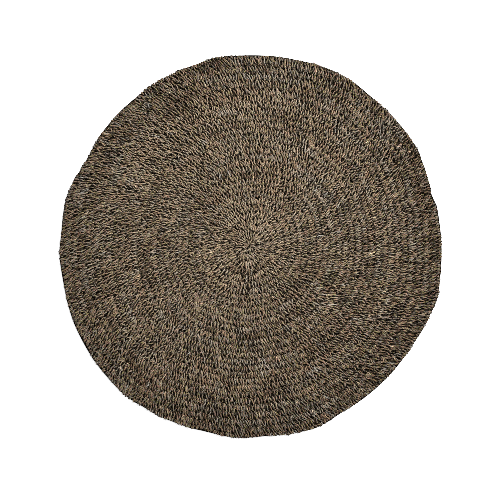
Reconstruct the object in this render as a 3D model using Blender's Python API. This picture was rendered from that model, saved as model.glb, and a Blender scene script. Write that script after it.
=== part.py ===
"""Round seagrass rug, crocheted in rounds from the middle out and lying flat.

The rug is one piece of work: the rounds are joined as they are made, and a
narrow row of edge stitches finishes the last of them. It is modelled as one
closed solid. Its underside is flat, each round is a low ridge on its upper
side, and its outline is as uneven as handwork leaves it.

Units are metres, +Z is up, and the origin is on the floor under the middle.
"""

import math
from typing import NamedTuple

import bmesh
import bpy
from mathutils import Matrix, Vector

# Driving dimensions
RUG_RADIUS = 0.750  # mean, over the edge stitches
CREST_HEIGHT = 0.0130  # top of a round, above the floor
SHOULDER_HEIGHT = 0.0125  # its inner shoulder, where it is worked into the round before
GROOVE_HEIGHT = 0.0084  # bottom of the groove between two rounds
EDGE_HEIGHT = 0.0105  # top of the edge stitches
MIDDLE_HEIGHT = 0.0110  # the drawn-in ring that the first round is worked over
MIDDLE_RADIUS = 0.0045  # of that ring
RIM_TUCK = 0.0040  # how far the underside lies inside the rim
RIM_HEIGHT = 0.0045  # where the rim reaches furthest out

# Where the first rounds are centred, off the middle of the finished outline
START_X = -0.0082
START_Y = 0.0012
START_OVAL = 0.0112  # how much longer than round the inner rounds are, each way
START_OVAL_TURN = math.radians(45)
SPREAD_POWER = 1.27  # how slowly the outline's shape fades towards the middle
RISE_TO_OVAL = 0.080  # reach at which the oval is at its full size
RISE_TO_DRIFT = 0.235  # reach at which the rounds' own drift is at its full size

SHOULDER_SHARE = 0.32  # of a round's width, from its groove to where its top levels out

# Sharpness of the mesh
STEPS_INNER = 24
STEPS_MIDDLE = 48
STEPS_OUTER = 84
STEPS_RIM = 120
LAST_INNER_ROUND = 4
LAST_MIDDLE_ROUND = 12
SMOOTH_ANGLE = math.radians(50)

SEAGRASS_COLOUR = (0.119, 0.094, 0.066, 1.0)
SEAGRASS_ROUGHNESS = 0.9


class RoundGroup(NamedTuple):
    """Neighbouring rounds worked at one width."""

    rounds: int
    width: float


class Swell(NamedTuple):
    """How far the work stands outside or inside its mean circle at an angle."""

    degrees: float
    out: float


# From the middle to the last round. The edge stitches take what is left.
ROUND_GROUPS = (
    RoundGroup(rounds=6, width=0.0271),
    RoundGroup(rounds=17, width=0.0250),
    RoundGroup(rounds=4, width=0.0287),
    RoundGroup(rounds=1, width=0.0310),
)

# Bulges and flats of the finished outline, anticlockwise from +X. The step at
# 17 degrees is where the last round ends, and 153 degrees is a flattened corner.
OUTLINE = (
    Swell(0, -0.0024),
    Swell(8, -0.0046),
    Swell(12, -0.0034),
    Swell(16, -0.0122),
    Swell(20, -0.0070),
    Swell(26, -0.0002),
    Swell(30, 0.0076),
    Swell(38, 0.0064),
    Swell(50, 0.0043),
    Swell(62, 0.0136),
    Swell(69, 0.0114),
    Swell(77, 0.0046),
    Swell(91, 0.0022),
    Swell(102, 0.0060),
    Swell(107, -0.0018),
    Swell(117, -0.0044),
    Swell(129, -0.0094),
    Swell(141, -0.0118),
    Swell(151, -0.0200),
    Swell(156, -0.0138),
    Swell(159, -0.0056),
    Swell(166, 0.0010),
    Swell(176, -0.0026),
    Swell(182, 0.0034),
    Swell(190, 0.0008),
    Swell(206, 0.0084),
    Swell(220, 0.0120),
    Swell(229, 0.0148),
    Swell(238, 0.0070),
    Swell(250, 0.0010),
    Swell(256, -0.0030),
    Swell(265, 0.0014),
    Swell(275, -0.0048),
    Swell(281, -0.0038),
    Swell(289, 0.0052),
    Swell(300, -0.0088),
    Swell(313, -0.0090),
    Swell(328, -0.0088),
    Swell(337, 0.0004),
    Swell(345, 0.0096),
    Swell(351, 0.0018),
)

# How the rounds inside the outline drift outwards and inwards as they go
# round, with a quick step outwards at the two places where they were joined.
DRIFT = (
    Swell(5, -0.0008),
    Swell(24, 0.0028),
    Swell(52, 0.0036),
    Swell(96, 0.0004),
    Swell(128, -0.0036),
    Swell(156, -0.0024),
    Swell(168, 0.0036),
    Swell(200, -0.0012),
    Swell(218, 0.0028),
    Swell(262, -0.0004),
    Swell(303, 0.0014),
    Swell(343, -0.0062),
)


def swell_at(table: tuple[Swell, ...], angle: float) -> float:
    """Return the swell at an angle in radians, eased from row to row."""
    degrees = math.degrees(angle) % 360
    rows = (*table, Swell(table[0].degrees + 360, table[0].out))
    if degrees < table[0].degrees:
        degrees += 360
    for before, after in zip(rows, rows[1:]):
        if degrees <= after.degrees:
            share = (degrees - before.degrees) / (after.degrees - before.degrees)
            eased = (1 - math.cos(math.pi * share)) / 2
            return before.out + (after.out - before.out) * eased
    return table[0].out


def rug_point(place: Vector) -> tuple[float, float, float]:
    """Return where a place on perfectly round work lies in the rug as it was made."""
    reach = math.hypot(place.x, place.y)
    angle = math.atan2(place.y, place.x)
    share = reach / RUG_RADIUS
    outer = share**SPREAD_POWER
    oval = START_OVAL * math.cos(2 * (angle - START_OVAL_TURN)) * min(1, reach / RISE_TO_OVAL)
    drift = swell_at(DRIFT, angle) * min(1, reach / RISE_TO_DRIFT)
    radius = reach + outer * swell_at(OUTLINE, angle) + (1 - share) * (oval + drift)
    return (
        START_X * (1 - outer) + radius * math.cos(angle),
        START_Y * (1 - outer) + radius * math.sin(angle),
        place.z,
    )


def round_edges() -> list[float]:
    """Return the reach of the groove outside each round, from the first to the last."""
    edges = [0.0]
    for group in ROUND_GROUPS:
        for _ in range(group.rounds):
            edges.append(edges[-1] + group.width)
    return edges


def steps_of(round_number: int) -> int:
    """Return how many steps a round is drawn with, which grows with its length."""
    if round_number <= LAST_INNER_ROUND:
        return STEPS_INNER
    if round_number <= LAST_MIDDLE_ROUND:
        return STEPS_MIDDLE
    return STEPS_OUTER


def add_ring(mesh: bmesh.types.BMesh, reach: float, height: float, steps: int) -> list:
    """Add a circle at a reach and a height, and return its edges."""
    level = Matrix.Translation((0, 0, height))
    verts = bmesh.ops.create_circle(mesh, segments=steps, radius=reach, matrix=level)["verts"]
    return [mesh.edges.get(pair) for pair in zip(verts, verts[1:] + verts[:1])]


def rug_rings() -> list[tuple[float, float, int]]:
    """Return reach, height and steps of each ring, from the middle over the rim and under."""
    edges = round_edges()
    rings = [(MIDDLE_RADIUS, MIDDLE_HEIGHT, STEPS_INNER)]
    for number, (inner, outer) in enumerate(zip(edges, edges[1:]), start=1):
        steps = steps_of(number)
        shoulder = (outer - inner) * SHOULDER_SHARE
        if number > 1:
            rings.append((inner + shoulder, SHOULDER_HEIGHT, steps))
        rings.append((outer - shoulder, CREST_HEIGHT, steps))
        rings.append((outer, GROOVE_HEIGHT, steps))
    edge_crest = (edges[-1] + RUG_RADIUS) / 2
    rings.append((edge_crest, EDGE_HEIGHT, STEPS_RIM))
    rings.append((RUG_RADIUS, RIM_HEIGHT, STEPS_RIM))
    rings.append((RUG_RADIUS - RIM_TUCK, 0.0, STEPS_RIM))
    return rings


def seagrass_material() -> bpy.types.Material:
    """Return the finish of natural and black seagrass, as it mixes from afar."""
    material = bpy.data.materials.new("seagrass")
    material.use_nodes = True
    shader = material.node_tree.nodes["Principled BSDF"]
    shader.inputs["Base Color"].default_value = SEAGRASS_COLOUR
    shader.inputs["Roughness"].default_value = SEAGRASS_ROUGHNESS
    shader.inputs["Metallic"].default_value = 0.0
    return material


def build_rug() -> bpy.types.Object:
    """Build the rug: joined rings, closed at both ends, then moved to where they lie."""
    mesh = bmesh.new()
    rings = [add_ring(mesh, *ring) for ring in rug_rings()]
    for inner, outer in zip(rings, rings[1:]):
        bmesh.ops.bridge_loops(mesh, edges=inner + outer)
    bmesh.ops.edgeloop_fill(mesh, edges=rings[0])
    bmesh.ops.edgeloop_fill(mesh, edges=rings[-1])
    for vert in mesh.verts:
        vert.co = rug_point(vert.co)
    bmesh.ops.triangulate(mesh, faces=mesh.faces[:])
    bmesh.ops.recalc_face_normals(mesh, faces=mesh.faces[:])
    data = bpy.data.meshes.new("rug")
    mesh.to_mesh(data)
    mesh.free()
    data.shade_smooth()
    data.set_sharp_from_angle(angle=SMOOTH_ANGLE)
    data.materials.append(seagrass_material())
    rug = bpy.data.objects.new("rug", data)
    bpy.context.collection.objects.link(rug)
    return rug


def main() -> None:
    """Clear the scene and build the rug."""
    for old in list(bpy.data.objects):
        bpy.data.objects.remove(old)
    build_rug()


main()
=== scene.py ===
"""Round seagrass rug: natural and black seagrass, twisted into cord and crocheted.

The rug is worked in rounds from the middle out. Each stitch shows as a short
length of two-ply cord that crosses its round, one ply natural and one dyed
black. A row of edge stitches wraps the last round. Underneath the stitches lies
the mat: the closed body of the work, which shows between them and from below.
Its top is painted near black, as painted shade between the stitches.

Units are metres, +Z is up, and the origin is on the floor under the middle.
"""

import logging
import math
from collections.abc import Mapping, Sequence
from dataclasses import dataclass, field
from enum import Enum
from typing import NamedTuple

import bmesh
import bpy
import numpy as np
from mathutils import Matrix, Vector


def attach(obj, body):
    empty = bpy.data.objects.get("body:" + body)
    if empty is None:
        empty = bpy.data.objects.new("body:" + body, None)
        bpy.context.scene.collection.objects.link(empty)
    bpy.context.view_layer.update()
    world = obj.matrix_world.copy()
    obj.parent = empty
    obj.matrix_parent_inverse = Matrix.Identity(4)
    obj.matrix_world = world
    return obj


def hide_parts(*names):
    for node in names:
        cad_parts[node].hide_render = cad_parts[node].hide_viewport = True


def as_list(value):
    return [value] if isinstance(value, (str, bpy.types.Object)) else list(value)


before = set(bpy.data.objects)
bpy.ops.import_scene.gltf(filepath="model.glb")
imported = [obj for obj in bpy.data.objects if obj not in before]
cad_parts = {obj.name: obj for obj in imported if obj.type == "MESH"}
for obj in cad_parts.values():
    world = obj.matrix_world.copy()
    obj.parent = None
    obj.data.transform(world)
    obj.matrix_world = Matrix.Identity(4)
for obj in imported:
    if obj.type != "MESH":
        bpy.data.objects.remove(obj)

LOG = logging.getLogger("seagrass_rug")
SEED = 2811
Array = np.ndarray
Colour = tuple[float, float, float]
Numbers = tuple[float, ...]


class RoundGroup(NamedTuple):
    """Neighbouring rounds worked at one width."""

    rounds: int
    width: float


class Swell(NamedTuple):
    """How far the work stands outside or inside its mean circle at an angle."""

    degrees: float
    out: float


class Change(NamedTuple):
    """A value that changes evenly from place to place, from the middle of the rug out."""

    places: Numbers  # shares of the way to the rim, unless its owner says otherwise
    values: Numbers

    def at(self, place: Array | float) -> Array | float:
        """Return the value at one place or many. Beyond the first and last it stays."""
        return np.interp(place, self.places, self.values)


class Band(NamedTuple):
    """Neighbouring rounds whose stitches are kept as one piece."""

    first: int
    last: int


# From the middle to the last round. The edge stitches take what is left.
ROUND_GROUPS = (
    RoundGroup(rounds=6, width=0.0271),
    RoundGroup(rounds=17, width=0.0250),
    RoundGroup(rounds=4, width=0.0287),
    RoundGroup(rounds=1, width=0.0310),
)

# Bulges and flats of the finished outline, anticlockwise from +X. The step at
# 17 degrees is where the last round ends, and 153 degrees is a flattened corner.
OUTLINE = (
    Swell(0, -0.0024), Swell(8, -0.0046), Swell(12, -0.0034), Swell(16, -0.0122),
    Swell(20, -0.0070), Swell(26, -0.0002), Swell(30, 0.0076), Swell(38, 0.0064),
    Swell(50, 0.0043), Swell(62, 0.0136), Swell(69, 0.0114), Swell(77, 0.0046),
    Swell(91, 0.0022), Swell(102, 0.0060), Swell(107, -0.0018), Swell(117, -0.0044),
    Swell(129, -0.0094), Swell(141, -0.0118), Swell(151, -0.0200), Swell(156, -0.0138),
    Swell(159, -0.0056), Swell(166, 0.0010), Swell(176, -0.0026), Swell(182, 0.0034),
    Swell(190, 0.0008), Swell(206, 0.0084), Swell(220, 0.0120), Swell(229, 0.0148),
    Swell(238, 0.0070), Swell(250, 0.0010), Swell(256, -0.0030), Swell(265, 0.0014),
    Swell(275, -0.0048), Swell(281, -0.0038), Swell(289, 0.0052), Swell(300, -0.0088),
    Swell(313, -0.0090), Swell(328, -0.0088), Swell(337, 0.0004), Swell(345, 0.0096),
    Swell(351, 0.0018),
)

# How the rounds inside the outline drift outwards and inwards as they go
# round, with a quick step outwards at the two places where they were joined.
DRIFT = (
    Swell(5, -0.0008), Swell(24, 0.0028), Swell(52, 0.0036), Swell(96, 0.0004),
    Swell(128, -0.0036), Swell(156, -0.0024), Swell(168, 0.0036), Swell(200, -0.0012),
    Swell(218, 0.0028), Swell(262, -0.0004), Swell(303, 0.0014), Swell(343, -0.0062),
)

BANDS = (Band(1, 13), Band(14, 18), Band(19, 22), Band(23, 25), Band(26, 28))


class Ply(Enum):
    """The two plies of the cord, by how much dye each took."""

    NATURAL = 0.0
    BLACK = 1.0


def swell_at(table: Sequence[Swell], angle: Array) -> Array:
    """Read a table of swells at many angles, eased from row to row.

    Args:
        table: rows in order of angle, once round.
        angle: angles in radians.

    Returns:
        The swell at each angle, in metres.
    """
    before = Swell(table[-1].degrees - 360, table[-1].out)
    after = Swell(table[0].degrees + 360, table[0].out)
    starts, outs = np.transpose((before, *table, after))
    degrees = np.degrees(angle) % 360
    index = np.searchsorted(starts, degrees, side="right") - 1
    share = (degrees - starts[index]) / (starts[index + 1] - starts[index])
    eased = (1 - np.cos(np.pi * share)) / 2
    return outs[index] + (outs[index + 1] - outs[index]) * eased


def unit(vectors: Array) -> Array:
    """Return vectors at length one."""
    return vectors / np.linalg.norm(vectors, axis=-1, keepdims=True)


def shown(name: str, data: bpy.types.ID) -> bpy.types.Object:
    """Return a new object in the scene that shows a mesh, a lamp or a camera."""
    thing = bpy.data.objects.new(name, data)
    bpy.context.collection.objects.link(thing)
    return thing


def runs(count: int, beside: int, rng: np.random.Generator) -> Array:
    """Return a random number for each stitch, about -2 to 2, that neighbours nearly share.

    Args:
        count: how many stitches there are, once round.
        beside: how many stitches to each side a stitch is like.
        rng: where the numbers come from.

    Returns:
        The number of each stitch.
    """
    row = rng.normal(0, 1, count)
    near = np.arange(-beside, beside + 1)
    return sum(np.roll(row, step) for step in near) / math.sqrt(len(near))


@dataclass(frozen=True)
class RugPlan:
    """Where perfectly round work lies in the rug, as it came out of the hand."""

    radius: float = 0.750  # mean, over the edge stitches
    start_x: float = -0.0082  # where the first rounds are centred
    start_y: float = 0.0012
    start_oval: float = 0.0112
    start_oval_turn: float = math.radians(45)
    spread_power: float = 1.27
    rise_to_oval: float = 0.080
    rise_to_drift: float = 0.235

    def edges(self) -> list[float]:
        """Return the reach of the groove outside each round, from the first on."""
        edges = [0.0]
        for group in ROUND_GROUPS:
            for _ in range(group.rounds):
                edges.append(edges[-1] + group.width)
        return edges

    def lay(self, places: Array) -> Array:
        """Move places on perfectly round work to where they lie in the rug.

        Args:
            places: points, one in each row, about the middle of round work.

        Returns:
            The same points in the rug, at the same heights.
        """
        reach = np.hypot(places[..., 0], places[..., 1])
        angle = np.arctan2(places[..., 1], places[..., 0])
        share = reach / self.radius
        outer = share**self.spread_power
        oval = self.start_oval * np.cos(2 * (angle - self.start_oval_turn))
        oval *= np.minimum(1, reach / self.rise_to_oval)
        drift = swell_at(DRIFT, angle) * np.minimum(1, reach / self.rise_to_drift)
        radius = reach + outer * swell_at(OUTLINE, angle) + (1 - share) * (oval + drift)
        laid = np.empty_like(places)
        laid[..., 0] = self.start_x * (1 - outer) + radius * np.cos(angle)
        laid[..., 1] = self.start_y * (1 - outer) + radius * np.sin(angle)
        laid[..., 2] = places[..., 2]
        return laid


class Shade:
    """A socket in a material, with arithmetic that adds the Math nodes for it."""

    def __init__(self, nodes: "Nodes", socket: bpy.types.NodeSocket) -> None:
        """Wrap a socket of the tree that nodes builds."""
        self.nodes = nodes
        self.socket = socket

    def math(self, operation: str, *values: "Shade | float") -> "Shade":
        """Return a Math node of the operation on these values."""
        return self.nodes.add("ShaderNodeMath", {"operation": operation}, dict(enumerate(values)))

    def __add__(self, other: "Shade | float") -> "Shade":
        """Return the sum."""
        return self.math("ADD", self, other)

    def __radd__(self, other: "Shade | float") -> "Shade":
        """Return the sum."""
        return self.math("ADD", other, self)

    def __sub__(self, other: "Shade | float") -> "Shade":
        """Return the difference."""
        return self.math("SUBTRACT", self, other)

    def __rsub__(self, other: "Shade | float") -> "Shade":
        """Return the difference from a number."""
        return self.math("SUBTRACT", other, self)

    def __mul__(self, other: "Shade | float") -> "Shade":
        """Return the product."""
        return self.math("MULTIPLY", self, other)

    def __rmul__(self, other: "Shade | float") -> "Shade":
        """Return the product."""
        return self.math("MULTIPLY", other, self)

    def __truediv__(self, other: "Shade | float") -> "Shade":
        """Return the quotient."""
        return self.math("DIVIDE", self, other)

    def clamped(self) -> "Shade":
        """Return the value held between 0 and 1."""
        return self.math("MINIMUM", self.math("MAXIMUM", self, 0.0), 1.0)

    def sine(self) -> "Shade":
        """Return the sine of the value, in radians."""
        return self.math("SINE", self)


Value = Shade | float | Numbers


class Nodes:
    """The node tree of one material, built up node by node."""

    def __init__(self, name: str) -> None:
        """Start a material with only its Principled BSDF and output."""
        self.material = bpy.data.materials.new(name)
        self.material.use_nodes = True
        self.tree = self.material.node_tree
        self.shader = self.tree.nodes["Principled BSDF"]

    def put(self, socket: bpy.types.NodeSocket, value: Value) -> None:
        """Link a wrapped socket to a socket, or set its value.

        Args:
            socket: the input to feed.
            value: a wrapped socket, a number or a colour, which gets full alpha.
        """
        if isinstance(value, Shade):
            self.tree.links.new(value.socket, socket)
        elif isinstance(value, tuple):
            socket.default_value = (*value, 1.0)[: len(socket.default_value)]
        else:
            socket.default_value = value

    def add(
        self,
        kind: str,
        settings: Mapping[str, object] | None = None,
        sockets: Mapping[str | int, Value] | None = None,
        output: str | int = 0,
    ) -> Shade:
        """Add a node.

        Args:
            kind: the node's type.
            settings: its own settings, which are set first.
            sockets: values or links of its inputs, by name or place.
            output: which of its outputs is wanted, by name or place.

        Returns:
            That output, wrapped.
        """
        node = self.tree.nodes.new(kind)
        for name, setting in (settings or {}).items():
            setattr(node, name, setting)
        for name, value in (sockets or {}).items():
            self.put(node.inputs[name], value)
        return Shade(self, node.outputs[output])

    def attribute(self, name: str) -> Shade:
        """Return a number that the piece's mesh carries."""
        return self.add("ShaderNodeAttribute", {"attribute_name": name}, output="Fac")

    def map_axes(self, name: str) -> tuple[Shade, Shade]:
        """Return the two numbers of a UV map of the piece."""
        place = self.add("ShaderNodeUVMap", {"uv_map": name})
        first = self.add("ShaderNodeSeparateXYZ", None, {0: place})
        return first, Shade(self, first.socket.node.outputs[1])

    def vector(self, *values: Value) -> Shade:
        """Return a vector of up to three numbers."""
        return self.add("ShaderNodeCombineXYZ", None, dict(enumerate(values)))

    def noise(self, vector: Value, scale: float, detail: float = 2.0) -> Shade:
        """Return noise from 0 to 1.

        Args:
            vector: where it is read.
            scale: how often it changes along a unit of the vector.
            detail: how many finer layers it has.
        """
        sockets = {"Vector": vector, "Scale": scale, "Detail": detail}
        return self.add("ShaderNodeTexNoise", None, sockets)

    def mixed(self, share: Value, first: Value, second: Value) -> Shade:
        """Return a colour between two colours."""
        sockets = {0: share, 6: first, 7: second}
        return self.add("ShaderNodeMix", {"data_type": "RGBA"}, sockets, output=2)

    def scaled(self, colour: Value, factor: Value) -> Shade:
        """Return a colour or vector times a number."""
        sockets = {0: colour, "Scale": factor}
        return self.add("ShaderNodeVectorMath", {"operation": "SCALE"}, sockets)

    def raised(self, height: Shade, distance: float, strength: float = 1.0) -> Shade:
        """Return a normal with fine relief.

        Args:
            height: of the relief, from 0 to 1.
            distance: how many metres a height of 1 stands for.
            strength: how far the relief shows.
        """
        sockets = {"Height": height, "Distance": distance, "Strength": strength}
        return self.add("ShaderNodeBump", None, sockets)


@dataclass(frozen=True)
class CordFinish:
    """Twisted seagrass: matt natural blades of many hues, and ones dyed black."""

    olive: Colour = (0.198, 0.187, 0.060)
    rose: Colour = (0.248, 0.128, 0.098)
    grey: Colour = (0.170, 0.162, 0.144)
    pale: Colour = (0.350, 0.335, 0.300)
    russet: Colour = (0.215, 0.125, 0.075)
    straw: Colour = (0.205, 0.160, 0.108)  # where the light has bleached them
    black: Colour = (0.031, 0.039, 0.012)
    brown: Colour = (0.070, 0.027, 0.018)  # where the black dye has browned
    roughness: float = 0.85
    gloss: float = 0.02  # how strongly the surface mirrors light
    blades: float = 5.0  # blades side by side round a ply
    blade_lean: float = 2.2  # how far they wind round it along a stitch
    blade_contrast: float = 2.0
    fibre_scale: float = 1.6  # of the streaks in a blade
    fibre_stretch: float = 1.5  # how often they change along a stitch
    fibre_relief: float = 0.4  # their share in the relief; the blades' roundness is the rest
    patches: float = 2.0  # how often blades change hue and wear round a ply
    joints: float = 6.0  # how often blades begin and end along a stitch
    joint_contrast: float = 4.2
    darkest: float = 0.04  # share of its tone that a worn blade keeps
    evenness: float = 1.3  # how far light blades are held back
    hue_contrast: float = 5.5
    rose_share: float = 0.62
    grey_share: float = 0.3
    start_cover: float = 0.85  # how far the natural ply hides the dyed one where a stitch starts
    bleach_from: float = 0.6  # how light a blade is where it starts to bleach
    bleach: float = 1.1
    bleach_most: float = 0.8
    relief: float = 0.0006

    # How far apart the plies are in each kind of noise, so that no two are alike
    fibre_spread: float = 900.0
    wear_spread: float = 770.0
    hue_spread: float = 550.0
    grey_spread: float = 330.0

    def material(self) -> bpy.types.Material:
        """Return the material, which reads the plies' own map and attributes."""
        nodes = Nodes("seagrass_cord")
        around, along = nodes.map_axes("Strand")
        own = nodes.attribute("own")

        def patchy(spread: float) -> Shade:
            """Return noise about 0 that changes from blade to blade."""
            spot = nodes.vector(around * self.patches, along * self.joints, own * spread)
            return nodes.noise(spot, scale=1.0) - 0.5

        winding = around * self.blades + along * self.blade_lean
        streak = nodes.vector(winding, along * self.fibre_stretch, own * self.fibre_spread)
        fibre = nodes.noise(streak, scale=self.fibre_scale, detail=3.0)
        ridge = (2 * math.pi * winding).sine() * 0.5 + 0.5
        rosy = (patchy(self.hue_spread) * self.hue_contrast + self.rose_share).clamped()
        natural = nodes.mixed(rosy, self.olive, self.rose)
        dyed = nodes.mixed(rosy, self.black, self.brown)
        greyed = (patchy(self.grey_spread) * self.hue_contrast + self.grey_share).clamped()
        natural = nodes.mixed(greyed, natural, self.grey)
        warm = nodes.attribute("warmth")
        natural = nodes.mixed(warm.clamped(), natural, self.russet)
        natural = nodes.mixed((-1.0 * warm).clamped(), natural, self.pale)
        wear = patchy(self.wear_spread) * self.joint_contrast
        worn = (fibre - 0.5) * self.blade_contrast + wear + 1.0
        worn = worn.math("MAXIMUM", worn, self.darkest)
        worn = worn * (1.0 + self.evenness) / (1.0 + self.evenness * worn)
        # Painted shade at a stitch's outer end, where the rim or the next round lies over it; where
        # the shade attribute is below 0 the end is lighter instead
        painted_end_shade = along * along * along * nodes.attribute("shade")
        tone = nodes.attribute("tone") * worn * (1.0 - painted_end_shade)
        dye = nodes.attribute("dye") * (1.0 - self.start_cover * (1.0 - along))
        bleached = ((tone - self.bleach_from) * self.bleach).clamped()
        natural = nodes.mixed(bleached * self.bleach_most, natural, self.straw)
        colour = nodes.scaled(nodes.mixed(dye, natural, dyed), tone)
        nodes.put(nodes.shader.inputs["Base Color"], colour)
        nodes.shader.inputs["Roughness"].default_value = self.roughness
        nodes.shader.inputs["Specular IOR Level"].default_value = self.gloss
        height = ridge * (1 - self.fibre_relief) + fibre * self.fibre_relief
        nodes.put(nodes.shader.inputs["Normal"], nodes.raised(height, self.relief))
        return nodes.material


@dataclass(frozen=True)
class MatFinish:
    """The body of the work between and under the stitches."""

    # Painted shadow: the near black of the gaps between the stitches
    painted_gap_shadow: Colour = (0.0006, 0.0004, 0.0002)
    shaded: Colour = (0.110, 0.088, 0.062)  # painted shade of the plies deep between the stitches
    natural: Colour = (0.300, 0.235, 0.160)  # of the plies underneath
    first_light: float = 1.5  # how light the shaded plies are in the middle
    light_loss: float = 0.03  # and how much less so from round to round
    groove_light: float = 0.3  # painted shade: how light plies in a groove are, to those on a crest
    ply_lean: float = 0.6  # of the plies underneath, in stitches over a round
    ply_wander: float = 2.4  # how unevenly they lie
    wander_scale: float = 0.7
    ply_contrast: float = 1.6
    ply_gap: float = 0.55  # how wide and dark the gaps between them are
    fibre_scale: float = 6.0  # of the fibres in them, to a stitch
    fibre_contrast: float = 0.6
    fibre_least: float = 0.7  # how light the darkest fibre is
    speck_scale: float = 260.0  # of the shaded plies' ends, to the metre
    speck_contrast: float = 5.0
    speck_share: float = 0.15
    roughness: float = 0.9
    gloss: float = 0.0
    relief: float = 0.003

    def material(self) -> bpy.types.Material:
        """Return the material: painted shade on top, near black, and plies side by side underneath.
        """
        nodes = Nodes("seagrass_mat")
        across, out = nodes.map_axes("Weave")
        cell = nodes.vector(across, out)
        wander = nodes.noise(cell, scale=self.wander_scale) - 0.5
        lean = across + out * self.ply_lean + wander * self.ply_wander
        ply = (2 * math.pi * lean).sine() * 0.5 + 0.5
        ridge = (math.pi * out).sine()
        ridge = ridge.math("ABSOLUTE", ridge)
        # Painted shade in the grooves between rounds, darker than on the crests; underneath, the
        # same factor darkens the joins between rounds
        painted_groove_shade = ridge * (1 - self.groove_light) + self.groove_light
        light = (ply * self.ply_contrast - self.ply_gap).clamped() * painted_groove_shade
        light = light * nodes.attribute("under")
        fibre = nodes.noise(cell, scale=self.fibre_scale, detail=3.0)
        natural = nodes.scaled(self.natural, fibre * self.fibre_contrast + self.fibre_least)
        spot = nodes.add("ShaderNodeTexCoord", output="Object")
        speck = nodes.noise(spot, scale=self.speck_scale, detail=1.0) - 0.5
        speck = (speck * self.speck_contrast + self.speck_share).clamped()
        # On top the mat is painted shade: near black, with specks of the shaded plies, mostly on
        # the crests
        shaded = nodes.scaled(self.shaded, self.first_light - self.light_loss * out)
        top = nodes.mixed(speck * painted_groove_shade, self.painted_gap_shadow, shaded)
        nodes.put(nodes.shader.inputs["Base Color"], nodes.mixed(light, top, natural))
        nodes.shader.inputs["Roughness"].default_value = self.roughness
        nodes.shader.inputs["Specular IOR Level"].default_value = self.gloss
        height = (ply * 0.5 + 0.5) * ridge
        nodes.put(nodes.shader.inputs["Normal"], nodes.raised(height, self.relief))
        return nodes.material


@dataclass(frozen=True)
class FloorFinish:
    """A plain, nearly white floor."""

    colour: Colour = (0.93, 0.93, 0.93)

    def material(self) -> bpy.types.Material:
        """Return the matt white material."""
        nodes = Nodes("studio_floor")
        nodes.put(nodes.shader.inputs["Base Color"], self.colour)
        nodes.shader.inputs["Roughness"].default_value = 1.0
        nodes.shader.inputs["Specular IOR Level"].default_value = 0.0
        return nodes.material


class Template(NamedTuple):
    """One ply as modelled, before it is bent into its place."""

    around: Array  # each vertex, in radians round the ply
    along: Array  # each vertex, from 0 to 1
    corners: Array  # the vertex of each face corner
    sizes: Array  # how many corners each face has
    strand: Array  # each corner, round and along
    cell: Array  # each corner, in its own square


@dataclass
class Courses:
    """The ways that many short lengths of cord take, a row for each length.

    Places are read about the middle of round work: out along the length's own
    angle, across it anticlockwise, and up.
    """

    angle: Array
    out: Array
    across: Array
    up: Array
    thick: Array  # share of the cord's full thickness
    phase: Array  # where the natural ply starts round the cord, in radians
    turns: Array  # of the plies, along the length
    tone: Array  # how light the natural ply is
    dark: Array  # how light the black ply is
    warmth: Array
    shade: Array  # painted shade: how much darker each length is where it ends than where it starts; below 0 the end is lighter


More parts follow.
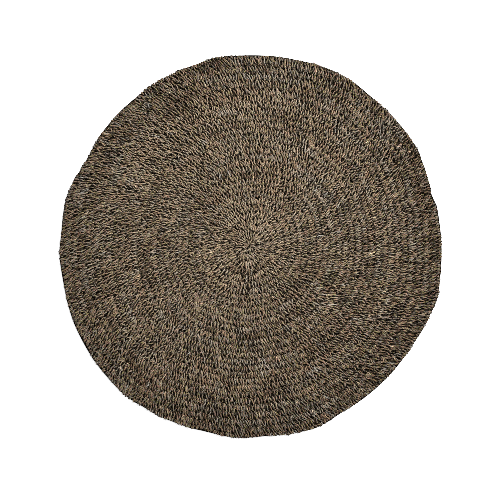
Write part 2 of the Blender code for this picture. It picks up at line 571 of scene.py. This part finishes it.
@dataclass
class TwistedCord:
    """Two plies of seagrass wound round each other, in many short lengths."""

    natural_radius: float = 0.0032
    black_radius: float = 0.0018
    flatness: float = 0.86  # how far the cord is pressed flat
    sides: int = 4
    steps: int = 8
    taper: float = 0.55  # how thick a length is at its two hidden ends
    taper_power: float = 0.4  # how slowly it thickens from there
    lowest: float = 0.0004  # the floor presses it flat from here down
    golden: float = 0.618034  # step of the number that tells the plies apart
    finish: CordFinish = field(default_factory=CordFinish)

    # Where a ply's side and its two end caps lie in its own square of the bake map
    side_corner: Numbers = (0.04, 0.27)
    side_size: Numbers = (0.92, 0.69)
    cap_middle: Numbers = (0.20, 0.12)
    cap_radius: float = 0.10
    cap_step: float = 0.50  # from the first cap to the second

    def template(self) -> Template:
        """Model one ply as a closed tube and read its faces.

        Returns:
            The ply, straight and at length one.
        """
        mesh = bmesh.new()
        middle = Matrix.Translation((0, 0, 0.5))
        bmesh.ops.create_cone(
            mesh, cap_ends=True, segments=self.sides, radius1=1, radius2=1, depth=1, matrix=middle
        )
        for step in range(1, self.steps):
            geometry = mesh.verts[:] + mesh.edges[:] + mesh.faces[:]
            height = (0, 0, step / self.steps)
            bmesh.ops.bisect_plane(mesh, geom=geometry, plane_co=height, plane_no=(0, 0, 1))
        bmesh.ops.recalc_face_normals(mesh, faces=mesh.faces[:])
        mesh.verts.index_update()
        around = np.array([math.atan2(v.co.y, v.co.x) % (2 * math.pi) for v in mesh.verts])
        along = np.array([v.co.z for v in mesh.verts])
        corners, sizes, strand, cell = [], [], [], []
        for face in mesh.faces:
            sizes.append(len(face.verts))
            turned = [around[v.index] / (2 * math.pi) for v in face.verts]
            is_cap = abs(face.normal.z) > 0.5
            for vert, turn in zip(face.verts, turned):
                if not is_cap and max(turned) - turn > 0.5:
                    turn += 1
                corners.append(vert.index)
                strand.append((turn, along[vert.index]))
                cell.append(self.cap_cell(vert.co) if is_cap else self.side_cell(turn, vert.co.z))
        mesh.free()
        return Template(around, along, *(np.array(x) for x in (corners, sizes, strand, cell)))

    def side_cell(self, turn: float, along: float) -> tuple[float, float]:
        """Return where a corner of a ply's side lies in the ply's square."""
        (left, foot), (width, height) = self.side_corner, self.side_size
        return left + width * turn, foot + height * along

    def cap_cell(self, place: Vector) -> tuple[float, float]:
        """Return where a corner of an end cap lies in the ply's square."""
        across, up = self.cap_middle
        across += self.cap_step * place.z
        return across + self.cap_radius * place.x, up + self.cap_radius * place.y

    def bend(self, courses: Courses, template: Template, plan: RugPlan) -> Array:
        """Bend a template along each course, once for each ply.

        Args:
            courses: the ways of the lengths.
            template: the modelled ply.
            plan: where round work lies in the rug.

        Returns:
            Vertices by length, ply and template vertex.
        """
        middle = np.stack((courses.out, courses.across, courses.up), axis=-1)
        forward = unit(np.gradient(middle, axis=1))
        side = unit(np.cross(forward, (0.0, 0.0, 1.0)))
        lift = np.cross(side, forward)
        share = np.linspace(0, 1, self.steps + 1)
        twist = courses.phase[:, None] + 2 * np.pi * courses.turns[:, None] * share
        ends = self.taper + (1 - self.taper) * np.sin(np.pi * share) ** self.taper_power
        ring = np.rint(template.along * self.steps).astype(int)
        radii = {Ply.NATURAL: self.natural_radius, Ply.BLACK: self.black_radius}
        plies = []
        for ply in Ply:
            turn = (twist + np.pi * ply.value)[:, ring]
            around = template.around + turn
            girth = (radii[ply] * courses.thick * ends)[:, ring]
            offset = ((sum(radii.values()) - radii[ply]) * courses.thick)[:, ring]
            sideways = offset * np.cos(turn) + girth * np.cos(around)
            upwards = offset * np.sin(turn) + girth * np.sin(around)
            upwards *= self.flatness
            placed = middle[:, ring] + side[:, ring] * sideways[..., None]
            plies.append(placed + lift[:, ring] * upwards[..., None])
        bent = np.stack(plies, axis=1)
        cos = np.cos(courses.angle)[:, None, None]
        sin = np.sin(courses.angle)[:, None, None]
        turned = np.empty_like(bent)
        turned[..., 0] = bent[..., 0] * cos - bent[..., 1] * sin
        turned[..., 1] = bent[..., 0] * sin + bent[..., 1] * cos
        turned[..., 2] = np.maximum(bent[..., 2], self.lowest)
        return plan.lay(turned)

    def build(
        self, name: str, courses: Courses, plan: RugPlan, material: bpy.types.Material
    ) -> bpy.types.Object:
        """Build all lengths of the courses as one joined piece.

        Args:
            name: of the piece.
            courses: the ways of the lengths.
            plan: where round work lies in the rug.
            material: the cord's finish.

        Returns:
            The new object, at the origin.
        """
        template = self.template()
        verts = self.bend(courses, template, plan)
        copies = verts.shape[0] * verts.shape[1]
        per_copy = len(template.around)
        corners = (template.corners + per_copy * np.arange(copies)[:, None]).ravel()
        sizes = np.tile(template.sizes, copies)
        data = bpy.data.meshes.new(name)
        data.vertices.add(copies * per_copy)
        data.vertices.foreach_set("co", verts.reshape(-1).astype(np.float32))
        data.loops.add(len(corners))
        data.loops.foreach_set("vertex_index", corners.astype(np.int32))
        data.polygons.add(len(sizes))
        starts = np.concatenate(([0], np.cumsum(sizes)[:-1]))
        data.polygons.foreach_set("loop_start", starts.astype(np.int32))
        self.write_map(data, "Strand", np.tile(template.strand, (copies, 1)))
        self.write_map(data, "OFBake", self.cells(template, copies))
        own = np.arange(copies) * self.golden % 1
        dye = np.tile([ply.value for ply in Ply], len(courses.angle))
        for title, values in (
            ("tone", np.stack((courses.tone, courses.dark), axis=1).ravel()),
            ("warmth", np.repeat(courses.warmth, len(Ply))),
            ("shade", np.repeat(courses.shade, len(Ply))),
            ("dye", dye),
            ("own", own),
        ):
            layer = data.attributes.new(title, "FLOAT", "POINT")
            layer.data.foreach_set("value", np.repeat(values, per_copy).astype(np.float32))
        data.update(calc_edges=True)
        data.validate()
        data.shade_smooth()
        data.materials.append(material)
        return shown(name, data)

    def cells(self, template: Template, copies: int) -> Array:
        """Work out a map that gives each copy of the template its own small square.

        Args:
            template: the modelled ply.
            copies: how many copies the piece has.

        Returns:
            The place of each face corner, copy by copy.
        """
        rows = math.ceil(math.sqrt(copies))
        corner = np.stack((np.arange(copies) % rows, np.arange(copies) // rows), axis=1)
        return ((corner[:, None] + template.cell) / rows).reshape(-1, 2)

    def write_map(self, data: bpy.types.Mesh, name: str, places: Array) -> None:
        """Give a mesh a UV map of a name, with a place for each face corner."""
        layer = data.uv_layers.new(name=name)
        layer.uv.foreach_set("vector", places.reshape(-1).astype(np.float32))


@dataclass
class RoundStitches:
    """The stitches of the rounds: lengths of cord that cross them, side by side."""

    # Where along a round the stitches are
    pitch: Change = Change((0.05, 0.25), (0.0086, 0.0102))  # from one to the next
    pitch_drift: float = 0.11  # how much wider or narrower a run of stitches is
    pitch_jitter: float = 0.12  # and each stitch by itself
    narrowest: float = 0.55  # of a stitch, in pitches
    widest: float = 1.6
    run_stitches: int = 3  # to each side of one, that are made like it

    # How far in and out they reach
    middle_reach: float = 0.0035  # where the first round's stitches start
    start_lap: float = 0.0004  # how far a stitch starts inside the groove
    overlap: float = 0.0024  # how far its end reaches under the next round
    slack: Change = Change((0.1, 0.3), (0.0016, 0.0005))  # spread of how far out one lies

    # How much further out the rounds lie than their grooves, by their reach in metres
    shift: Change = Change((0.02, 0.06, 0.40, 0.52), (0.0, 0.0023, 0.0023, 0.0045))

    # How they lean, in degrees anticlockwise as they go out, and how they bend
    lean: Change = Change((0.1, 0.5, 0.95), (13.0, 29.0, 30.0))
    lean_drift: float = math.radians(6)  # of a run of stitches
    lean_spread: float = math.radians(12)  # and of each stitch by itself
    most_lean: float = math.radians(46)  # further than this no stitch leans
    side_lean: float = math.radians(6)  # how much more the stitches lean on two sides of the rug
    side_lean_turn: float = math.radians(150)  # where the first of those sides is
    sway: float = 0.0010  # how far a full S swings to each side
    sway_mean: float = 0.6  # share of it that a stitch has on average
    sway_spread: float = 0.5  # and how much that differs from stitch to stitch
    bow: float = 0.0009  # spread of their bend to one side

    # How high and thick they are. A stitch starts wide, on top of the round before,
    # and is drawn in towards its outer end, where the next round lies over it. Here
    # the places are shares of a stitch's own way out.
    crest: float = 0.0080  # height of the cord's middle at the top of a round
    groove: float = 0.0052  # and in the groove between two rounds
    rise: Change = Change((0.0, 0.15, 0.42, 0.62, 0.85, 1.0), (0.75, 0.95, 1.0, 1.0, 0.95, 0.75))
    girth: Change = Change((0.0, 0.15, 0.42, 0.62, 0.85, 1.0), (1.12, 1.14, 1.12, 0.93, 0.78, 1.0))
    height_spread: float = 0.0005  # of each stitch by itself
    thinnest: float = 0.3  # share of its thickness that a stitch has where room is short
    thickest: float = 1.15  # and where there is room
    thick_spread: float = 0.07  # of each stitch by itself
    tight_turn: float = math.radians(335)  # the side of the rug where the work is tightest
    tight_pull: float = 0.5  # how much more the stitches are drawn in there

    # How their plies twist
    turns: float = -1.3  # against the lean
    turns_spread: float = 0.4
    phase_step: float = 0.4  # spread of the twist's change from stitch to stitch
    jump_share: float = 0.20  # of the stitches, where the twist starts afresh

    # How light and warm they are: palest in the third round, and darkest in the last
    level: Change = Change((0.02, 0.08, 0.16, 0.27, 0.75, 0.95), (1.0, 1.28, 1.15, 0.9, 0.87, 0.59))
    dyed: Change = Change((0.0, 0.6), (0.2, 0.6))  # share of black plies that took the dye well
    dyed_tone: float = 0.2  # of those plies
    undyed_tone: float = 1.6  # and of the other black ones
    dyed_spread: float = 0.3  # of each black ply by itself
    shading: Change = Change((0.1, 0.5), (0.0, 1.0))  # share of the next two that shows
    end_shade: float = -0.22  # how much darker a stitch ends than it starts, in painted shade; below 0, as here, it ends lighter
    side_shade: float = 0.25  # and how much more so, in painted shade, where the work is tightest
    blade_stitches: float = 6.0  # how many stitches a blade lasts
    blade_spread: float = 0.20  # of how light the blades are
    stitch_spread: float = 0.15  # and of each stitch by itself
    least_tone: float = 0.1  # light stitches are held back by their tone, or by this
    darkest: float = 0.35
    lightest: float = 1.8
    painted_side_light: float = 0.16  # painted light: how much lighter one side of the rug is
    painted_light_turn: float = math.radians(96)  # and where that painted lit side is
    blade_warmth: float = 0.12  # spread of how warm the blades are
    stitch_warmth: float = 0.10  # and of each stitch by itself
    pale_share: float = 0.010  # of the stitches, that are nearly white
    russet_share: float = 0.03
    odd_warmth: float = 0.6  # how far those two kinds are from the rest
    cord: TwistedCord = field(default_factory=TwistedCord)
    plan: RugPlan = field(default_factory=RugPlan)

    def courses(self, first: int, last: int, rng: np.random.Generator) -> Courses:
        """Work out the ways of the stitches of some rounds.

        Args:
            first: number of the first round, from 1.
            last: number of the last round.
            rng: where the hand's unevenness comes from.

        Returns:
            The courses, from the inner round to the outer one.
        """
        edges = self.plan.edges()
        parts = [self.round_courses(edges[k - 1], edges[k], rng) for k in range(first, last + 1)]
        names = Courses.__dataclass_fields__
        return Courses(**{n: np.concatenate([getattr(part, n) for part in parts]) for n in names})

    def round_courses(self, inner: float, outer: float, rng: np.random.Generator) -> Courses:
        """Work out the ways of one round's stitches.

        Args:
            inner: reach of the round's inner groove.
            outer: reach of its outer groove.
            rng: where the hand's unevenness comes from.

        Returns:
            The courses, in order round the rug.
        """
        middle = (inner + outer) / 2
        grown = middle / self.plan.radius
        count = round(2 * math.pi * middle / self.pitch.at(grown))
        widths = 1 + self.pitch_drift * runs(count, self.run_stitches, rng)
        widths = widths + self.pitch_jitter * rng.normal(0, 1, count)
        widths = np.clip(widths, self.narrowest, self.widest)
        angle = 2 * np.pi * (np.cumsum(widths) / widths.sum() + rng.uniform())
        tight = np.cos(angle - self.tight_turn)
        share = np.linspace(0, 1, self.cord.steps + 1)
        start = np.maximum(inner - self.start_lap, self.middle_reach)
        reach = start + (outer + self.overlap - start) * share
        jitter = rng.normal(0, 1, (6, count))
        out = np.broadcast_to(reach, (count, len(share))) + self.shift.at(middle)
        out = out + self.slack.at(grown) * jitter[1][:, None]
        lean = self.leans(grown, angle, jitter[0], rng)
        sway = self.sway * (self.sway_mean + self.sway_spread * jitter[2])
        across = np.tan(lean)[:, None] * (reach - middle)
        across = across + sway[:, None] * np.sin(2 * np.pi * share)
        across = across + self.bow * jitter[3][:, None] * np.sin(np.pi * share)
        arch = self.groove + (self.crest - self.groove) * self.rise.at(share)
        up = arch + self.height_spread * jitter[4][:, None]
        room = np.broadcast_to(2 * np.pi * reach / count / self.pitch.values[-1], out.shape)
        drawn = 1 + (self.girth.at(share) - 1) * (1 + self.tight_pull * tight)[:, None]
        thick = np.clip(room, self.thinnest, self.thickest)
        thick = thick * (1 + self.thick_spread * jitter[5])[:, None] * drawn
        turns = rng.normal(self.turns, self.turns_spread, count)
        tone, warmth = self.tones(grown, angle, rng)
        phase = self.phases(count, rng)
        dark = self.darks(grown, count, rng)
        # Painted shade at the stitches' outer ends, heaviest where the work is tightest; mostly
        # below 0, so most ends come out lighter
        shade = self.shading.at(grown) * (self.end_shade + self.side_shade * tight)
        return Courses(angle, out, across, up, thick, phase, turns, tone, dark, warmth, shade)

    def leans(self, grown: float, angle: Array, own: Array, rng: np.random.Generator) -> Array:
        """Work out how far each stitch of a round leans.

        Args:
            grown: share of the way out at which the round lies.
            angle: of each stitch.
            own: each stitch's own unevenness.
            rng: where the unevenness of whole runs comes from.

        Returns:
            The leans in radians, anticlockwise as the stitch goes out.
        """
        lean = np.radians(self.lean.at(grown))
        lean = lean + self.lean_drift * runs(len(angle), self.run_stitches, rng)
        lean = lean + self.side_lean * np.cos(2 * (angle - self.side_lean_turn))
        return np.clip(lean + self.lean_spread * own, -self.most_lean, self.most_lean)

    def darks(self, grown: float, count: int, rng: np.random.Generator) -> Array:
        """Return how light each stitch's black ply is, at a share of the way out."""
        dyed = rng.uniform(size=count) < self.dyed.at(grown)
        dark = np.where(dyed, self.dyed_tone, self.undyed_tone)
        return dark * rng.lognormal(0, self.dyed_spread, count)

    def phases(self, count: int, rng: np.random.Generator) -> Array:
        """Return where each stitch's twist starts: near its neighbour's, now and then afresh."""
        steps = rng.normal(0, self.phase_step, count)
        fresh = rng.uniform(size=count) < self.jump_share
        steps[fresh] += rng.uniform(-np.pi, np.pi, fresh.sum())
        return rng.uniform(0, 2 * np.pi) + np.cumsum(steps)

    def tones(self, grown: float, angle: Array, rng: np.random.Generator) -> tuple[Array, Array]:
        """Return how light and how warm the natural plies are, at a share of the way out."""
        count = len(angle)
        blade = np.cumsum(rng.uniform(size=count) < 1 / self.blade_stitches)
        own_tone, own_warmth = rng.normal(0, 1, (2, count))
        tone = 1 + self.blade_spread * own_tone[blade] + rng.normal(0, self.stitch_spread, count)
        tone = self.level.at(grown) * 2 * tone / (1 + np.maximum(tone, self.least_tone))
        # Painted light: natural plies lighter towards one side of the rug and darker towards the
        # other, more so further out
        tone = tone * (1 + self.painted_side_light * grown * np.cos(angle - self.painted_light_turn))
        warmth = self.blade_warmth * own_warmth[blade] + rng.normal(0, self.stitch_warmth, count)
        odd = rng.uniform(size=count)
        warmth[odd < self.pale_share] -= self.odd_warmth
        warmth[odd > 1 - self.russet_share] += self.odd_warmth
        return np.clip(tone, self.darkest, self.lightest), warmth

    def build(self, bands: Sequence[Band], rng: np.random.Generator) -> list[bpy.types.Object]:
        """Build each band of rounds as one piece."""
        material = self.cord.finish.material()
        pieces = []
        for band in bands:
            courses = self.courses(band.first, band.last, rng)
            name = f"stitches_{band.first:02d}_{band.last:02d}"
            pieces.append(self.cord.build(name, courses, self.plan, material))
        return pieces


@dataclass
class EdgeStitches:
    """The row of stitches that wraps the last round, over its rim and under it."""

    pitch: float = 0.0100
    pitch_jitter: float = 0.2  # how far a stitch is off its place, in pitches
    wander: float = 0.0019  # spread of how far out a run of stitches lies
    run_stitches: int = 4  # to each side of one, that lie like it
    unevenness: float = 0.0009  # spread of how far out each stitch by itself lies
    lean: float = math.radians(10)
    lean_spread: float = math.radians(10)
    side_spread: float = 0.0008  # of each stitch along the rim
    thick_spread: float = 0.06
    turns: float = 0.75  # of the plies, with the lean
    turns_spread: float = 0.15
    phase_step: float = 0.4  # mean of the twist's change from stitch to stitch
    phase_spread: float = 0.8

    # The way of the cord's middle, from the last groove round the rim and under it:
    # how far out of the mean outline, and how high
    reaches: Numbers = (
        -0.0162, -0.0140, -0.0116, -0.0092, -0.0069, -0.0053, -0.0049, -0.0062, -0.0095
    )
    heights: Numbers = (
        0.0056, 0.0074, 0.0082, 0.0081, 0.0073, 0.0058, 0.0040, 0.0026, 0.0024
    )

    tone: float = 0.53
    tone_spread: float = 0.16
    darkest: float = 0.3
    lightest: float = 1.6
    warmth_spread: float = 0.22
    dark_level: float = -1.2  # of the black plies, as a power of e
    dark_spread: float = 0.7
    end_shade: float = 1.0  # painted shade: how much darker a stitch ends, under the rim
    cord: TwistedCord = field(default_factory=TwistedCord)
    plan: RugPlan = field(default_factory=RugPlan)

    def courses(self, rng: np.random.Generator) -> Courses:
        """Work out the ways of the stitches, from the last groove round the rim."""
        count = round(2 * math.pi * self.plan.radius / self.pitch)
        places = np.arange(count) + rng.uniform(-self.pitch_jitter, self.pitch_jitter, count)
        angle = 2 * np.pi * places / count
        jitter = rng.normal(0, 1, (4, count))
        shift = self.unevenness * jitter[0] + self.wander * runs(count, self.run_stitches, rng)
        share = np.linspace(0, 1, self.cord.steps + 1)
        rows = np.linspace(0, 1, len(self.reaches))
        reach = np.interp(share, rows, self.reaches)
        out = self.plan.radius + reach + shift[:, None]
        up = np.broadcast_to(np.interp(share, rows, self.heights), out.shape)
        lean = np.tan(self.lean + self.lean_spread * jitter[1])[:, None]
        across = lean * (reach - reach[0]) + self.side_spread * jitter[2][:, None]
        thick = np.broadcast_to(1 + self.thick_spread * jitter[3][:, None], out.shape)
        turns = rng.normal(self.turns, self.turns_spread, count)
        phase = np.cumsum(rng.normal(self.phase_step, self.phase_spread, count))
        tone = self.tone * (1 + rng.normal(0, self.tone_spread, count))
        tone = np.clip(tone, self.darkest, self.lightest)
        warmth = rng.normal(0, self.warmth_spread, count)
        dark = rng.lognormal(self.dark_level, self.dark_spread, count)
        shade = np.full(count, self.end_shade)
        return Courses(angle, out, across, up, thick, phase, turns, tone, dark, warmth, shade)

    def build(self, rng: np.random.Generator) -> bpy.types.Object:
        """Build the row as one piece."""
        material = self.cord.finish.material()
        return self.cord.build("edge_stitches", self.courses(rng), self.plan, material)


@dataclass
class Mat:
    """The closed body of the work: rounds on top, flat underneath."""

    crest: float = 0.0066  # height of the top of a round, under its stitches
    groove: float = 0.0040
    crest_share: float = 0.5  # of a round's width, from its crest to its outer groove
    slope_share: float = 0.18  # and from halfway down
    rim_inset: float = 0.0026  # how far inside the edge stitches the body ends
    rim_height: float = 0.0040  # where it reaches furthest out
    tuck: float = 0.0030  # how far the underside lies inside that
    steps: int = 200
    flat_size: float = 1.500
    pitch: float = 0.01175  # of the stitches underneath, as the weave's map counts them
    plan: RugPlan = field(default_factory=RugPlan)
    finish: MatFinish = field(default_factory=MatFinish)

    def profile(self) -> list[tuple[float, float]]:
        """Return reach and height along a cut from the middle to the rim and back under."""
        edges = self.plan.edges()
        points = [(0.0, self.crest)]
        for inner, outer in zip(edges, edges[1:]):
            width = outer - inner
            points.append((outer - width * self.crest_share, self.crest))
            points.append((outer - width * self.slope_share, (self.crest + self.groove) / 2))
            points.append((outer, self.groove))
        rim = self.plan.radius - self.rim_inset
        points.append(((edges[-1] + rim) / 2, self.crest))
        points.append((rim, self.rim_height))
        points.append((rim - self.tuck, 0.0))
        points.extend((edge, 0.0) for edge in reversed(edges[1:-1]))
        points.append((0.0, 0.0))
        return points

    def build(self) -> bpy.types.Object:
        """Spin the profile into a closed body and lay it as the rug lies."""
        mesh = bmesh.new()
        verts = [mesh.verts.new((reach, 0.0, height)) for reach, height in self.profile()]
        cut = [mesh.edges.new(pair) for pair in zip(verts, verts[1:])]
        bmesh.ops.spin(
            mesh, geom=verts + cut, cent=(0, 0, 0), axis=(0, 0, 1), dvec=(0, 0, 0),
            angle=2 * math.pi, steps=self.steps, use_merge=True,
        )
        bmesh.ops.remove_doubles(mesh, verts=mesh.verts[:], dist=1e-6)
        bmesh.ops.recalc_face_normals(mesh, faces=mesh.faces[:])
        data = bpy.data.meshes.new("mat")
        mesh.to_mesh(data)
        mesh.free()
        self.map_weave(data)
        places = np.empty(len(data.vertices) * 3, np.float32)
        data.vertices.foreach_get("co", places)
        laid = self.plan.lay(places.reshape(-1, 3).astype(float))
        data.vertices.foreach_set("co", laid.reshape(-1).astype(np.float32))
        data.shade_smooth()
        data.materials.append(self.finish.material())
        return shown("mat", data)

    def map_weave(self, data: bpy.types.Mesh) -> None:
        """Map the mat in stitches: how many across, and how many rounds out."""
        weave = data.uv_layers.new(name="Weave")
        under = data.attributes.new("under", "FLOAT", "POINT")
        edges = self.plan.edges()
        for face in data.polygons:
            middle = math.hypot(face.center.x, face.center.y)
            number = max(i for i, edge in enumerate(edges) if edge <= middle)
            stitches = round(2 * math.pi * (edges[number] + self.pitch) / self.pitch)
            places = [data.vertices[vertex].co for vertex in face.vertices]
            turns = [math.atan2(place.y, place.x) % (2 * math.pi) for place in places]
            for corner, place, turn in zip(face.loop_indices, places, turns):
                if max(turns) - turn > math.pi:
                    turn += 2 * math.pi
                out = float(np.interp(math.hypot(place.x, place.y), edges, range(len(edges))))
                weave.uv[corner].vector = (stitches * turn / (2 * math.pi), out)
            for vertex, place in zip(face.vertices, places):
                under.data[vertex].value = 1.0 if place.z < self.groove / 2 else 0.0


@dataclass
class Studio:
    """The pale floor, the soft light and the camera straight above the rug."""

    frame_width: float = 1.9585  # what the picture is across, at the rug
    look_x: float = -0.0048
    look_y: float = -0.0125
    lens: float = 70.0
    sensor: float = 36.0
    floor_size: float = 30.0
    floor_gap: float = 0.0003  # from the floor up to the rug
    pixel_filter: float = 0.62  # how far a pixel reaches, in pixels
    sky: float = 1.15  # brightness of the even light all round
    lamp_power: float = 1700.0  # in watts
    lamp_size: float = 4.0
    lamp_distance: float = 9.0
    lamp_azimuth: float = math.radians(42)
    lamp_elevation: float = math.radians(40)

    def build(self) -> None:
        """Build the floor, the light and the camera."""
        self.add_floor()
        self.add_light()
        self.add_camera()
        bpy.context.scene.view_settings.view_transform = "Standard"
        bpy.context.scene.cycles.filter_width = self.pixel_filter
        bpy.context.scene.cycles.use_denoising = False

    def add_floor(self) -> None:
        """Add a floor just under the rug."""
        mesh = bmesh.new()
        under = Matrix.Translation((0, 0, -self.floor_gap))
        half = self.floor_size / 2
        bmesh.ops.create_grid(mesh, x_segments=1, y_segments=1, size=half, matrix=under)
        data = bpy.data.meshes.new("floor")
        mesh.to_mesh(data)
        mesh.free()
        data.materials.append(FloorFinish().material())
        floor = shown("floor", data)

    def add_light(self) -> None:
        """Add an even sky and one large lamp, a little from the back."""
        world = bpy.data.worlds.new("studio")
        world.use_nodes = True
        world.node_tree.nodes["Background"].inputs["Color"].default_value = (1, 1, 1, 1)
        world.node_tree.nodes["Background"].inputs["Strength"].default_value = self.sky
        bpy.context.scene.world = world
        data = bpy.data.lights.new("lamp", "AREA")
        data.energy = self.lamp_power
        data.size = self.lamp_size
        lamp = shown("lamp", data)
        azimuth, elevation = self.lamp_azimuth, self.lamp_elevation
        flat = math.cos(elevation)
        ahead = Vector((flat * math.cos(azimuth), flat * math.sin(azimuth), math.sin(elevation)))
        lamp.location = ahead * self.lamp_distance
        lamp.rotation_euler = ahead.to_track_quat("Z", "Y").to_euler()

    def add_camera(self) -> None:
        """Add the camera, looking straight down."""
        data = bpy.data.cameras.new("camera")
        data.lens = self.lens
        data.sensor_width = self.sensor
        camera = shown("camera", data)
        height = self.frame_width * self.lens / self.sensor
        camera.location = (self.look_x, self.look_y, height)
        bpy.context.scene.camera = camera


def report(piece: bpy.types.Object) -> None:
    """Log a piece and how many triangles it has."""
    sizes = np.empty(len(piece.data.polygons), np.int32)
    piece.data.polygons.foreach_get("loop_total", sizes)
    LOG.info("%s: %d triangles", piece.name, int((sizes - 2).sum()))


def main() -> None:
    logging.basicConfig(level=logging.INFO, format="%(message)s")
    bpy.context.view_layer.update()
    rng = np.random.default_rng(SEED)
    Studio().build()
    mat = Mat()
    body = mat.build()
    stitches = RoundStitches().build(BANDS, rng)
    stitches.append(EdgeStitches().build(rng))
    for piece in [body, *stitches]:
        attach(piece, "root")
        report(piece)
    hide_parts("rug")
    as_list(stitches)


if __name__ == "__main__":
    main()
